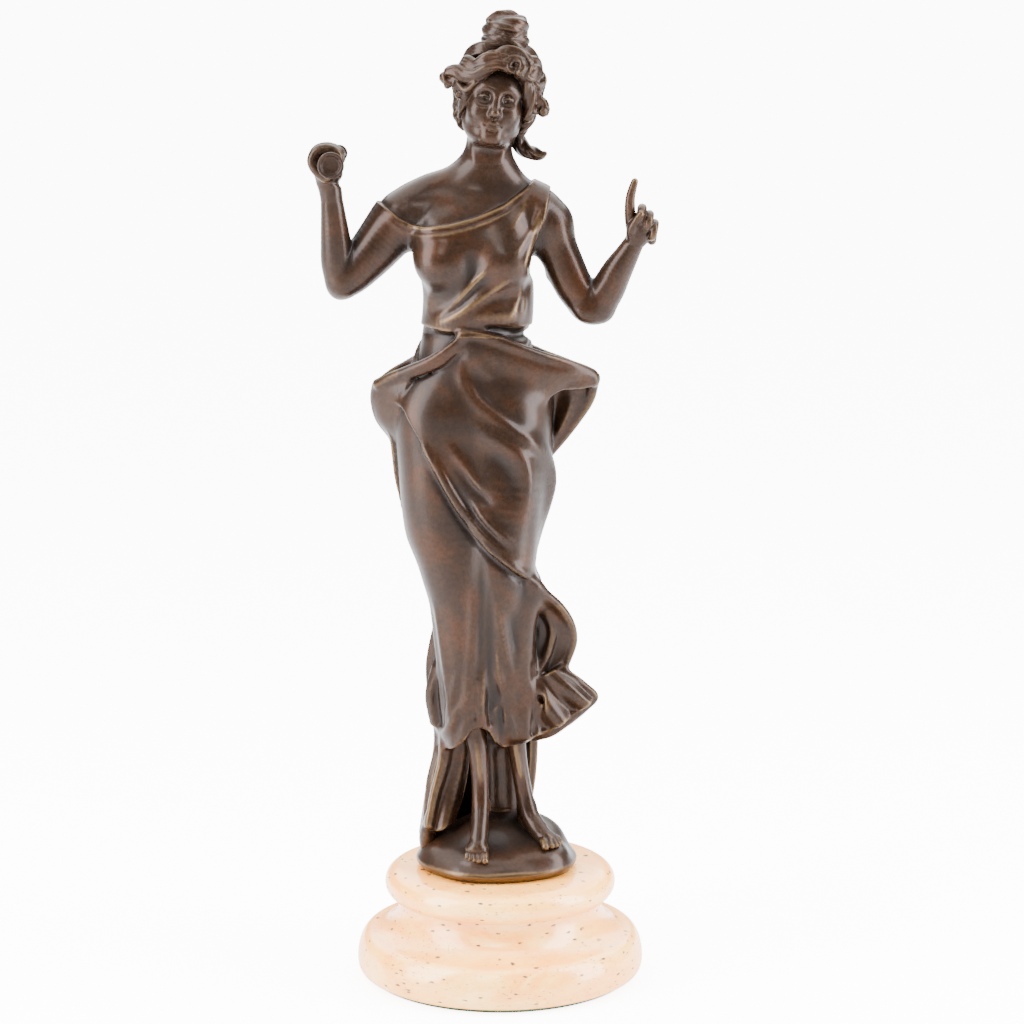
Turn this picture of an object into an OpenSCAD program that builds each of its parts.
// Bronze statuette of a robed dancer on a turned travertine socle.
// Millimetres, +Z up, origin at the centre of the felt's resting face, the figure faces -Y.

/* [Socle] */
// Widest diameter of the turned stone socle
socle_d = 84; // [70:1:110]
// Height of the stone alone
socle_h = 31; // [26:1:40]
// Thickness of the felt under the stone
felt_t = 1; // [0.5:0.1:3]

/* [Figure] */
// Height of the bronze from the socle's top to the top of the topknot
figure_h = 248; // [200:1:310]
// Wall thickness of the hollow castings
wall = 3; // [2:0.1:4]

/* [Fasteners] */
// Diameter of the threaded stud that holds the bronze to the stone
stud_d = 6; // [4:0.5:8]
// Diameter of the dowel that stops the bronze from turning
dowel_d = 3; // [2:0.1:4]
// Diameter of the cross pins in the sleeve joints
pin_d = 1.8; // [1.2:0.1:2.2]
// Diameter of the round tenons at the neck and the shoulders
tenon_d = 7; // [5:0.1:8.4]
// Diameter of the screws that hold the feet
foot_screw_d = 3; // [2:0.1:3.6]
// Radial clearance of pins, studs and tenons in their bores
clearance = 0.08; // [0.05:0.01:0.2]

/* [Flute] */
// Diameter of the flute's bell
bell_d = 7.5; // [6:0.1:10]
// Diameter of the flute's pipe, which the fist holds
pipe_d = 4; // [3:0.1:5]
// Depth of the dish in the bell's mouth
bell_dish = 1.2; // [0.5:0.1:2]
// Length of the flute
flute_l = 44; // [30:1:60]

/* [Hidden] */

BRONZE = "#4a3527";
STONE = "#e8cfa6";
STEEL = "#b8bcc0";
FELT = "#2f5a3a";
ROUND = 48;
SLEEVE_SIDES = 28;                  // the sleeve and its seat have the same sides, so that they match

k = figure_h / 248;                 // scale of the sculpted shapes against their drawn height
socle_z = felt_t;                   // underside of the stone
deck_z = felt_t + socle_h;          // top of the stone, where the bronze stands
base_r = socle_d / 2;
joint_gap = 0.1;                    // gap between two castings at a sleeve joint

// Stud, nut and their recess
nut_w = 1.65 * stud_d;              // across flats
nut_h = 0.8 * stud_d;
washer_r = 1.15 * stud_d;
washer_t = 1.2;
stud_bore_r = stud_d / 2 + 0.5;     // clearance hole through the stone
recess_r = washer_r + 3;
recess_h = 12;
boss_h = 9 * k;                     // depth of the threaded boss inside the mound
stud_x = -2 * k;
stud_y = 4 * k;
dowel_x = -14 * k;
dowel_l = 8;

// Rings are [height, centre x, centre y, half width, half depth] above the socle's top.
mound_rings = [
    [0, -1.2, 0, 23.2, 20.5], [3, -1.2, 0, 23.8, 21], [6, -1.2, 0.6, 22.6, 19.6],
    [9, -1.2, 2, 20, 16.8], [12, -1.2, 4, 16.4, 13.2], [14.5, -1, 6, 12, 9.2], [16, -1, 7, 6.5, 5]
];
gown_rings = [
    [38, -3, 1, 13.2, 16], [50, -3, 1.5, 13.6, 17], [61, -3, 1.5, 14.3, 17.5], [72, -3.5, 1.5, 15.2, 17],
    [83, -5.2, 1, 15.8, 16.5], [95, -7.1, 0.5, 17, 16.5], [104, -8.2, 0, 19.2, 17], [116, -6.5, 0, 21.6, 17.5],
    [128, -7, 0.8, 22.8, 17.6], [138, -8, 0.8, 21.4, 16.6], [148, -7.5, 0, 18.8, 14.4], [158, -7, 0, 16.2, 12.4]
];
bodice_rings = [
    [158, -7, 0, 16, 12.2], [166, -6.3, -0.4, 15.8, 12.2], [176, -6.5, -1, 17, 13.2], [184, -7, -1.8, 18.4, 14],
    [190, -7.2, -1.2, 19.4, 13.2], [196, -7.2, 0, 19.6, 11.6], [201, -6.4, 0.8, 16, 9.4], [205, -4.4, 1.4, 9.6, 7.6]
];
head_rings = [
    [211.4, -3.4, -4, 3.2, 3.8], [214.4, -3, -2.4, 6.2, 7.2], [218.6, -2.6, -0.4, 8.6, 9.8],
    [223.4, -2.2, 1.2, 10.2, 11.4], [228.6, -1.4, 2, 11, 12.2], [234, -0.6, 2.6, 11.2, 12.2],
    [238.4, 0.8, 3.2, 9.6, 10.4], [241.5, 1.6, 3.4, 6, 6.6]
];
train_rings = [
    [8, -8, 12.5, 8, 4.5], [13, -8, 13.5, 10.5, 5.2], [22, -7, 15, 11.5, 5.5],
    [36, -6, 16.5, 11, 5.5], [52, -5, 17.2, 10, 5.2], [68, -4, 17, 8, 4.2]
];

// Limb paths are [x, y, z, radius] above the socle's top.
right_arm_path = [
    [-26, 1, 192, 6.4], [-31, 0.5, 188, 6], [-38, -1, 179, 5.2], [-43.4, -2, 172, 4.9], [-45.6, -2.6, 171, 4.7],
    [-47.4, -3.6, 176, 4.5], [-48.6, -5, 186, 3.8], [-49.2, -6.6, 196, 2.9], [-49, -7.2, 201, 2.8]
];
left_arm_path = [
    [12, 1, 192, 6.2], [15.6, 1, 186, 5.8], [20, 1, 176, 5], [24.4, 0.6, 168.6, 4.6], [27.6, 0, 167.6, 4.6],
    [31, -0.8, 171.6, 4.6], [35, -2.4, 179, 3.8], [38, -4, 185.4, 3], [39.4, -4.8, 188, 3]
];
right_leg_path = [
    [-5, -11, 9, 3], [-5.2, -8, 13, 2.9], [-5.4, -4, 20, 3], [-5.4, -1.6, 28, 3.7], [-5.2, 0, 37.9, 4.4]
];
left_leg_path = [
    [12.6, -6.6, 12, 3], [9.6, -4.4, 15, 3], [6.6, -1.4, 20, 3.1], [5, 0.8, 28, 3.8], [4.4, 2, 37.9, 4.4]
];
right_toes_path = [[-5, -15, 6, 2.6], [-5, -11, 9, 3.2], [-5.2, -5, 12.6, 3]];
left_toes_path = [[15, -10, 9.2, 2.7], [12.6, -7.4, 11.6, 3.2], [8.4, -3.4, 14, 3]];
flute_axis = [-46.6, 206.6];                      // x and height of the flute's axis
flute_front_y = -19;                              // y of the bell's mouth, towards the viewer
neck_axis = [-3.2, 1.4];                          // x and y of the neck's axis
neck_r = 6.6;                                     // radius of the neck above the collar
collar_z = 206;                                   // height of the cut between bodice and neck
neck_cut_z = collar_z * k;
right_cut_x = -26 * k;                            // cut between bodice and right arm
left_cut_x = 12 * k;                              // cut between bodice and left arm
shoulder_y = 1 * k;
shoulder_z = 192 * k;
waist_z = 158 * k;
tenon_l = 8;                                      // length of the neck and shoulder tenons
sleeve_l = 7;                                     // length of the waist's oval sleeve
hem_z = 38 * k;                                   // underside of the gown, where the legs come out
foot_screw_l = 15 * k;                            // length of a foot screw under its head
right_screw = [-5, -5];
left_screw = [7.5, -2.5];
screw_seat_z = 4 * k;                             // height of the seats for the screws' heads
pin_past = 5;                                     // how far a round tenon's pin goes past its axis
waist_pin_y = 12.4 * k - 7.4;                     // inner end of the waist's pins, in the sleeve's wall

function scaled(rows) = [for (row = rows) row * k];
function spot(row) = [row[0], row[1], row[2]];
function unit(v) = v / norm(v);
function direction(path, i) =
    unit(spot(path[min(i + 1, len(path) - 1)]) - spot(path[max(i - 1, 0)]));
// A limb with a small ring beyond each end, so that its ends are blunt and not sharp discs.
function rounded(path) = let (
    n = len(path) - 1,
    first = spot(path[0]) - direction(path, 0) * path[0][3] * 0.7,
    last = spot(path[n]) + direction(path, n) * path[n][3] * 0.7
) concat(
    [[first[0], first[1], first[2], path[0][3] * 0.6]], path,
    [[last[0], last[1], last[2], path[n][3] * 0.6]]
);

// Closes a stack of rings of n points each into one solid.
module skin(points, n) {
    rows = len(points) / n;
    polyhedron(points, concat(
        [[for (j = [0 : n - 1]) j]],
        [for (i = [0 : rows - 2]) for (j = [0 : n - 1]) [i * n + j, (i + 1) * n + j, (i + 1) * n + (j + 1) % n]],
        [for (i = [0 : rows - 2]) for (j = [0 : n - 1]) [i * n + j, (i + 1) * n + (j + 1) % n, i * n + (j + 1) % n]],
        [[for (j = [n - 1 : -1 : 0]) (rows - 1) * n + j]]
    ));
}

// An upright form through oval rings, with folds of the given depth that turn as they rise.
module form(rings, n, folds = 0, depth = 0, turn = 0) {
    skin([for (ring = rings) for (j = [0 : n - 1]) let (
        a = 360 * j / n,
        wave = depth * cos(folds * a + turn * ring[0])
    ) [
        ring[1] + (ring[3] + wave) * cos(a),
        ring[2] + (ring[4] + wave) * sin(a),
        ring[0]
    ]], n);
}

// A round limb along a path, with a blunt ring at each end.
module limb(path, n) {
    whole = rounded(path);
    skin([for (i = [0 : len(whole) - 1]) let (
        t = direction(whole, i),
        u = unit(cross([0, 1, 0.001], t)),
        w = cross(t, u)
    ) for (j = [0 : n - 1]) let (a = 360 * j / n)
        spot(whole[i]) + whole[i][3] * (cos(a) * u + sin(a) * w)], n);
}

module above_deck() { translate([0, 0, deck_z]) children(); }

// ---- Stone, felt and fasteners ----

module socle() {
    foot_in = 1.5;                      // how far the resting edge lies inside the widest line
    shoulder_in = 4;                    // how far the lower torus draws in at its top
    neck_in = 12.7;                     // how far the hollow neck draws in
    lip_in = 8.2;                       // how far the upper torus lies inside the widest line
    torus_h = 12 * socle_h / 31;
    neck_z = 22 * socle_h / 31;
    lip_h = socle_h - neck_z;
    bulge = 0.3;                        // share of the lower torus below its widest line
    color(STONE) translate([0, 0, socle_z]) difference() {
        rotate_extrude($fn = 96) polygon(concat(
            [[0, 0]],
            [for (a = [90 : -18 : 0]) [base_r - foot_in * (1 - cos(a)), bulge * torus_h * (1 - sin(a))]],
            [for (a = [15 : 15 : 90]) [base_r - shoulder_in * (1 - cos(a)), torus_h * (bulge + (1 - bulge) * sin(a))]],
            [for (a = [15 : 15 : 90]) [
                base_r - shoulder_in - (neck_in - shoulder_in) * sin(a),
                torus_h + (neck_z - torus_h) * (1 - cos(a))
            ]],
            [for (a = [-60 : 15 : 90]) [
                base_r - lip_in - lip_h / 2 * (1 - cos(a)),
                neck_z + lip_h / 2 * (1 + sin(a))
            ]],
            [[0, socle_h]]
        ));
        translate([stud_x, stud_y, -1]) cylinder(r = stud_bore_r, h = socle_h + 2, $fn = ROUND);
        translate([stud_x, stud_y, -1]) cylinder(r = recess_r, h = recess_h + 1, $fn = ROUND);
        translate([dowel_x, stud_y, socle_h - dowel_l / 2])
            cylinder(r = dowel_d / 2 + clearance, h = dowel_l, $fn = ROUND);
    }
}

module felt_pad() {
    color(FELT) cylinder(r = base_r - 3, h = felt_t, $fn = 96);
}

stud_foot_z = socle_z + recess_h - washer_t - nut_h - 2;

module mounting_stud() {
    color(STEEL) translate([stud_x, stud_y, stud_foot_z])
        cylinder(d = stud_d, h = deck_z + boss_h - 1 - stud_foot_z, $fn = ROUND);
}

module stud_washer() {
    color(STEEL) translate([stud_x, stud_y, socle_z + recess_h - washer_t]) difference() {
        cylinder(r = washer_r, h = washer_t, $fn = ROUND);
        translate([0, 0, -1]) cylinder(d = stud_d + 2 * clearance, h = washer_t + 2, $fn = ROUND);
    }
}

module stud_nut() {
    color(STEEL) translate([stud_x, stud_y, socle_z + recess_h - washer_t - nut_h]) difference() {
        cylinder(d = nut_w / cos(30), h = nut_h, $fn = 6);
        translate([0, 0, -1]) cylinder(d = stud_d + 2 * clearance, h = nut_h + 2, $fn = ROUND);
    }
}

module locating_pin() {
    color(STEEL) translate([dowel_x, stud_y, deck_z - dowel_l / 2 + clearance])
        cylinder(d = dowel_d, h = dowel_l - 2 * clearance, $fn = ROUND);
}

// ---- Mound and feet ----

module mound_shape() { form(scaled(mound_rings), 32, folds = 5, depth = 0.3 * k); }

module mound() {
    inner = [for (ring = scaled(mound_rings)) [ring[0] - wall, ring[1], ring[2], ring[3] - wall, ring[4] - wall]];
    color(BRONZE) above_deck() difference() {
        mound_shape();
        difference() {
            form([for (i = [0 : 5]) inner[i]], 24);
            translate([stud_x, stud_y, 0]) cylinder(r = stud_d / 2 + wall, h = 40 * k, $fn = ROUND);
            translate([dowel_x, stud_y, 0]) cylinder(r = dowel_d / 2 + wall / 2, h = 40 * k, $fn = ROUND);
            for (screw = [right_screw, left_screw]) translate([screw[0] * k, screw[1] * k, screw_seat_z])
                cylinder(r = foot_screw_d / 2 + wall / 2, h = 40 * k, $fn = ROUND);
        }
        translate([stud_x, stud_y, -1]) cylinder(r = stud_d / 2 + clearance, h = boss_h + 1, $fn = ROUND);
        translate([dowel_x, stud_y, -1]) cylinder(r = dowel_d / 2 + clearance, h = dowel_l / 2 + 1, $fn = ROUND);
        for (screw = [right_screw, left_screw]) translate([screw[0] * k, screw[1] * k, -1])
            cylinder(r = foot_screw_d / 2 + clearance, h = 30 * k, $fn = ROUND);
    }
}

// A bare foot with its ankle, cut to the mound under it and bored for its screw.
module foot(leg, toes, screw) {
    color(BRONZE) above_deck() difference() {
        union() {
            intersection() {
                limb(scaled(leg), 14);
                translate([-60 * k, -60 * k, 0]) cube([120 * k, 120 * k, hem_z]);
            }
            limb(scaled(toes), 12);
        }
        mound_shape();
        translate([screw[0] * k, screw[1] * k, 0])
            cylinder(r = foot_screw_d / 2 + clearance, h = screw_seat_z + foot_screw_l + clearance, $fn = ROUND);
    }
}

module right_foot() { foot(right_leg_path, right_toes_path, right_screw); }
module left_foot() { foot(left_leg_path, left_toes_path, left_screw); }

module foot_screws() {
    head_h = 1.7;
    color(STEEL) above_deck() for (screw = [right_screw, left_screw])
        translate([screw[0] * k, screw[1] * k, screw_seat_z - head_h]) {
            cylinder(d = foot_screw_d, h = head_h + foot_screw_l, $fn = ROUND);
            cylinder(d = foot_screw_d * 1.7, h = head_h, $fn = ROUND);
        }
}

// ---- Gown and drapery ----

module gown_shape() { form(scaled(gown_rings), 40, folds = 9, depth = 0.55 * k, turn = 2.1 / k); }

module gown() {
    rows = scaled(gown_rings);
    inner = [for (i = [0 : len(rows) - 1]) let (ring = rows[i])
        [i == 0 ? hem_z + wall : ring[0], ring[1], ring[2], ring[3] - wall, ring[4] - wall]];
    top = [for (z = [waist_z - sleeve_l - 1, waist_z + 5]) concat([z], waist_opening(0))];
    color(BRONZE) above_deck() difference() {
        gown_shape();
        form(concat([for (i = [0 : 10]) inner[i]], top), SLEEVE_SIDES);
        waist_pins_at(pin_d + 2 * clearance, 40 * k);
    }
}

// The inside of the gown's top, where the bodice's sleeve slips in.
function waist_opening(gap) = let (ring = scaled(gown_rings)[len(gown_rings) - 1])
    [ring[1], ring[2], ring[3] - wall - gap, ring[4] - wall - gap];

// Two pins from behind through the waist's sleeve, as solids of the given diameter and length.
module waist_pins_at(d, l) {
    for (x = [-14, 0]) translate([x * k, waist_pin_y, waist_z - sleeve_l / 2])
        rotate([-90, 0, 0]) cylinder(d = d, h = l, $fn = ROUND);
}

module waist_pins() {
    ring = scaled(gown_rings)[len(gown_rings) - 1];
    color(BRONZE) above_deck() waist_pins_at(pin_d, ring[4] - wall / 2 - waist_pin_y);
}

// Drapery that falls behind the legs to the mound.
module train() {
    color(BRONZE) above_deck() difference() {
        form(scaled(train_rings), 28, folds = 6, depth = 0.5 * k);
        gown_shape();
        mound_shape();
    }
}

// A thin flap of cloth over its corner points, cut to the gown that it is brazed to.
module flap(corners, thickness) {
    hull() for (corner = corners) translate(corner * k) sphere(d = thickness, $fn = 16);
}

module right_hip_drape() {
    color(BRONZE) above_deck() difference() {
        union() {
            flap([[-24, -2, 147], [-34.5, 1, 140], [-34.4, 2, 133], [-27, 4, 127]], 2.4);
            flap([[-24, -2, 147], [-34.5, 1, 140], [-22, 11, 146]], 2.4);
        }
        gown_shape();
    }
}

module left_hip_drape() {
    color(BRONZE) above_deck() difference() {
        union() {
            flap([[8, -5, 152], [26, -1, 143.4], [24, 4, 133], [13, 8, 122]], 2.4);
            flap([[8, -5, 152], [26, -1, 143.4], [10, 12, 148]], 2.4);
        }
        gown_shape();
    }
}

module hem_swirl() {
    color(BRONZE) above_deck() difference() {
        union() {
            flap([[8, -9, 84], [20, -4, 76], [22, 0, 62], [10, -6, 66]], 3);
            flap([[20, -2, 64], [27, 0, 46.5], [18, 2, 41], [8, 6, 42]], 3);
            flap([[20, -4, 76], [22, 4, 66], [12, 10, 58], [10, 8, 80]], 3);
        }
        gown_shape();
    }
}

// ---- Bodice, arms, head and flute ----

module shoulder_tenon(x, side, grow) {
    translate([x, shoulder_y, shoulder_z]) rotate([0, 90 * side, 0]) translate([0, 0, grow > 0 ? -1 : 0])
        cylinder(r = tenon_d / 2 + grow, h = tenon_l + (grow > 0 ? 1 + clearance : 0), $fn = ROUND);
}

// A pin from behind through the middle of a round tenon, of the given diameter and length.
module tenon_pin(x, y, z, d, l) {
    translate([x, y - pin_past, z]) rotate([-90, 0, 0]) cylinder(d = d, h = l, $fn = ROUND);
}

module shoulder_pin_at(cut_x, side, d, l) { tenon_pin(cut_x + side * tenon_l / 2, shoulder_y, shoulder_z, d, l); }
module neck_pin_at(d, l) { tenon_pin(neck_axis[0] * k, neck_axis[1] * k, neck_cut_z - tenon_l / 2, d, l); }

module bodice() {
    inner = [for (ring = scaled([for (i = [1 : 3]) bodice_rings[i]]))
        [ring[0], ring[1], ring[2], ring[3] - wall, ring[4] - wall]];
    color(BRONZE) above_deck() difference() {
        union() {
            intersection() {
                union() {
                    form(scaled(bodice_rings), 36);
                    translate([neck_axis[0] * k, neck_axis[1] * k, 196 * k])
                        cylinder(r = neck_r * k, h = neck_cut_z - 196 * k, $fn = ROUND);
                }
                translate([right_cut_x, -50 * k, 0]) cube([left_cut_x - right_cut_x, 100 * k, neck_cut_z]);
            }
            form([for (z = [waist_z - sleeve_l, waist_z + 1]) concat([z], waist_opening(clearance))], SLEEVE_SIDES);
        }
        form(concat([for (z = [waist_z - sleeve_l - 1, waist_z])
            concat([z], waist_opening(clearance + wall))], inner), 24);
        shoulder_tenon(right_cut_x, 1, clearance);
        shoulder_tenon(left_cut_x, -1, clearance);
        translate([neck_axis[0] * k, neck_axis[1] * k, neck_cut_z - tenon_l - clearance])
            cylinder(r = tenon_d / 2 + clearance, h = tenon_l + 5, $fn = ROUND);
        waist_pins_at(pin_d + 2 * clearance, 40 * k);
        shoulder_pin_at(right_cut_x, 1, pin_d + 2 * clearance, 40 * k);
        shoulder_pin_at(left_cut_x, -1, pin_d + 2 * clearance, 40 * k);
        neck_pin_at(pin_d + 2 * clearance, 40 * k);
    }
}

module right_shoulder_pin() { color(BRONZE) above_deck() shoulder_pin_at(right_cut_x, 1, pin_d, pin_past + 5 * k); }
module left_shoulder_pin() { color(BRONZE) above_deck() shoulder_pin_at(left_cut_x, -1, pin_d, pin_past + 5 * k); }
module neck_pin() { color(BRONZE) above_deck() neck_pin_at(pin_d, pin_past + 7 * k); }

// An arm cast in one piece with its hand, and a tenon that enters the bodice at the cut.
module arm(path, cut_x, side) {
    difference() {
        union() {
            difference() {
                union() {
                    limb(scaled(path), 16);
                    children();
                }
                translate([side > 0 ? cut_x - joint_gap : cut_x + joint_gap - 200, -100, 0])
                    cube([200, 200, 400 * k]);
            }
            translate([-side * joint_gap, 0, 0]) shoulder_tenon(cut_x, side, 0);
        }
        shoulder_pin_at(cut_x, side, pin_d + 2 * clearance, 40 * k);
    }
}

module right_arm() {
    color(BRONZE) above_deck() difference() {
        arm(right_arm_path, right_cut_x, 1) {
            limb(scaled([[-48.8, -7, 201, 3.2], [-49.4, -6.6, 207, 3.6], [-49.6, -6, 210, 2.6]]), 12);
            for (i = [0 : 3]) limb(scaled([
                [-50.6, -11 + 2.9 * i, 204.6, 1.7], [-51.4, -11 + 2.9 * i, 208.4, 1.7],
                [-48.6, -11 + 2.9 * i, 210.6, 1.7], [-45.6, -11 + 2.9 * i, 210, 1.5]
            ]), 8);
            limb(scaled([[-48, -9, 202, 2], [-45.4, -9.6, 203.6, 1.8], [-43.4, -9.4, 206.4, 1.5]]), 8);
        }
        translate([flute_axis[0] * k, 0, flute_axis[1] * k]) rotate([90, 0, 0])
            cylinder(r = pipe_d / 2 + clearance, h = 80 * k, center = true, $fn = ROUND);
    }
}

module left_arm() {
    color(BRONZE) above_deck() arm(left_arm_path, left_cut_x, -1) {
        limb(scaled([[39.6, -4.8, 188, 3.2], [41, -4.6, 192, 3.8], [42, -4.4, 194.6, 3]]), 12);
        limb(scaled([[39.2, -6.6, 193, 1.8], [38.4, -7.4, 198, 1.7], [39, -7.6, 202.6, 1.3]]), 8);
        for (i = [0 : 2]) limb(scaled([
            [41.8 + 1.5 * i, -6.4 + 1.4 * i, 197 - 2 * i, 1.7], [42.8 + 1.4 * i, -8.4 + 1.3 * i, 196.4 - 2 * i, 1.7],
            [42.4 + 1.2 * i, -9 + 1.3 * i, 193.6 - 2 * i, 1.5]
        ]), 8);
    }
}

module head() {
    color(BRONZE) above_deck() difference() {
        union() {
            form(scaled(head_rings), 28);
            translate([2 * k, 3 * k, 241 * k]) sphere(r = 7 * k, $fn = 32);
            translate([-13.4 * k, 0.6 * k, 227.6 * k]) sphere(r = 4.2 * k, $fn = 24);
            translate([11.4 * k, 0.6 * k, 224.6 * k]) sphere(r = 4.6 * k, $fn = 24);
            translate([neck_axis[0] * k, neck_axis[1] * k, neck_cut_z + joint_gap])
                cylinder(r = neck_r * k, h = 14 * k, $fn = ROUND);
            translate([neck_axis[0] * k, neck_axis[1] * k, neck_cut_z - tenon_l + joint_gap])
                cylinder(d = tenon_d, h = tenon_l + 2, $fn = ROUND);
            difference() {
                limb(scaled([[1, 6, 224, 3.4], [4.6, 5.4, 215, 3], [7.6, 4, 209.6, 2.6], [11.4, 2.4, 207.6, 1.4]]), 10);
                translate([0, 0, -100]) cylinder(r = 100 * k, h = 100 + neck_cut_z + joint_gap);
            }
        }
        neck_pin_at(pin_d + 2 * clearance, 40 * k);
    }
}

module flute() {
    color(BRONZE) above_deck() translate([flute_axis[0] * k, flute_front_y * k, flute_axis[1] * k])
        rotate([-90, 0, 0]) difference() {
            union() {
                cylinder(d = pipe_d, h = flute_l, $fn = ROUND);
                cylinder(d1 = bell_d, d2 = pipe_d, h = 6, $fn = ROUND);
                translate([0, 0, flute_l - 2]) cylinder(d = pipe_d + 1, h = 2, $fn = ROUND);
            }
            translate([0, 0, -0.01]) cylinder(d1 = bell_d - 1.4, d2 = pipe_d * 0.7, h = bell_dish, $fn = ROUND);
        }
}

socle();
felt_pad();
mounting_stud();
stud_washer();
stud_nut();
locating_pin();
mound();
right_foot();
left_foot();
foot_screws();
gown();
train();
right_hip_drape();
left_hip_drape();
hem_swirl();
bodice();
waist_pins();
right_arm();
right_shoulder_pin();
left_arm();
left_shoulder_pin();
head();
neck_pin();
flute();
